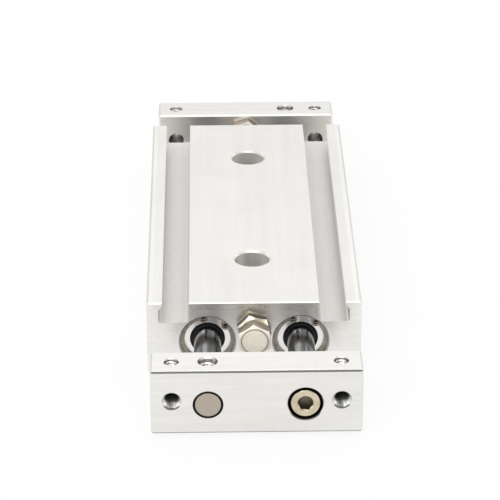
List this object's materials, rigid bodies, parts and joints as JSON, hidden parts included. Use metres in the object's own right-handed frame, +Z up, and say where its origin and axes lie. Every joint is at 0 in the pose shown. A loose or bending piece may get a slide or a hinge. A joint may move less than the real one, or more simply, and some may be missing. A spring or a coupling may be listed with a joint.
{
  "type": "guided pneumatic cylinder",
  "caption": "Flat twin-rod pneumatic cylinder: rods joined by an end plate at each end slide through a bolt-down housing, with screw stops and sensor slots.",
  "frame": {"origin": "bottom centre of the whole part: on the mounting surface, midway between the outer faces of the two end plates", "axes": "+Y along the rods from the front plate to the rear plate, +X to the right seen from the front plate, +Z up out of the mounting surface"},
  "size_m": [0.0632, 0.198, 0.0234],
  "materials": {
    "housing_aluminium": "satin clear anodised extrusion",
    "plate_aluminium": "milled and clear anodised, fine machining lines",
    "cover_aluminium": "turned",
    "piston_aluminium": "turned",
    "bush_bronze": "bored",
    "seal_rubber": "moulded",
    "bumper_urethane": "moulded urethane",
    "clip_steel": "phosphated spring steel",
    "rod_chrome": "hard chrome, ground",
    "screw_steel": "pale zinc plated",
    "bolt_zinc": "pale zinc plated",
    "nut_zinc": "yellow zinc plated",
    "plug_steel": "ground ball",
    "magnet": "bonded magnet"
  },
  "bodies": {
    "housing": {"housing": "housing_aluminium", "front_left_cover": "cover_aluminium", "front_right_cover": "cover_aluminium", "rear_left_cover": "cover_aluminium", "rear_right_cover": "cover_aluminium", "front_left_guide_bush": "bush_bronze", "front_right_guide_bush": "bush_bronze", "rear_left_guide_bush": "bush_bronze", "rear_right_guide_bush": "bush_bronze", "front_left_rod_seal": "seal_rubber", "front_right_rod_seal": "seal_rubber", "rear_left_rod_seal": "seal_rubber", "rear_right_rod_seal": "seal_rubber", "front_left_cover_oring": "seal_rubber", "front_right_cover_oring": "seal_rubber", "rear_left_cover_oring": "seal_rubber", "rear_right_cover_oring": "seal_rubber", "front_left_bumper": "bumper_urethane", "front_right_bumper": "bumper_urethane", "rear_left_bumper": "bumper_urethane", "rear_right_bumper": "bumper_urethane", "circlips": "clip_steel", "lock_nuts": "nut_zinc", "passage_plugs": "plug_steel"},
    "slide_frame": {"front_plate": "plate_aluminium", "rear_plate": "plate_aluminium", "left_rod": "rod_chrome", "right_rod": "rod_chrome", "rod_screws": "screw_steel", "air_way_plugs": "plug_steel", "clamp_screws": "screw_steel", "left_piston": "piston_aluminium", "left_magnet": "magnet", "left_piston_front_seal": "seal_rubber", "left_piston_rear_seal": "seal_rubber", "left_piston_front_clip": "clip_steel", "left_piston_rear_clip": "clip_steel", "right_piston": "piston_aluminium", "right_magnet": "magnet", "right_piston_front_seal": "seal_rubber", "right_piston_rear_seal": "seal_rubber", "right_piston_front_clip": "clip_steel", "right_piston_rear_clip": "clip_steel", "front_plate_outer_oring": "seal_rubber", "front_plate_inner_oring": "seal_rubber", "rear_plate_outer_oring": "seal_rubber", "rear_plate_inner_oring": "seal_rubber"},
    "front_stop": {"front_stop_bolt": "bolt_zinc"},
    "rear_stop": {"rear_stop_bolt": "bolt_zinc"}
  },
  "joints": [
    {"name": "frame_slide", "type": "slide", "parent": "housing", "child": "slide_frame", "axis": [0, 1, 0], "range_m": [0, 0.0167]},
    {"name": "front_stop_travel", "type": "slide", "parent": "housing", "child": "front_stop", "axis": [0, 1, 0], "range_m": [0, 0.0022]},
    {"name": "rear_stop_travel", "type": "slide", "parent": "housing", "child": "rear_stop", "axis": [0, -1, 0], "range_m": [0, 0.0063]}
  ]
}
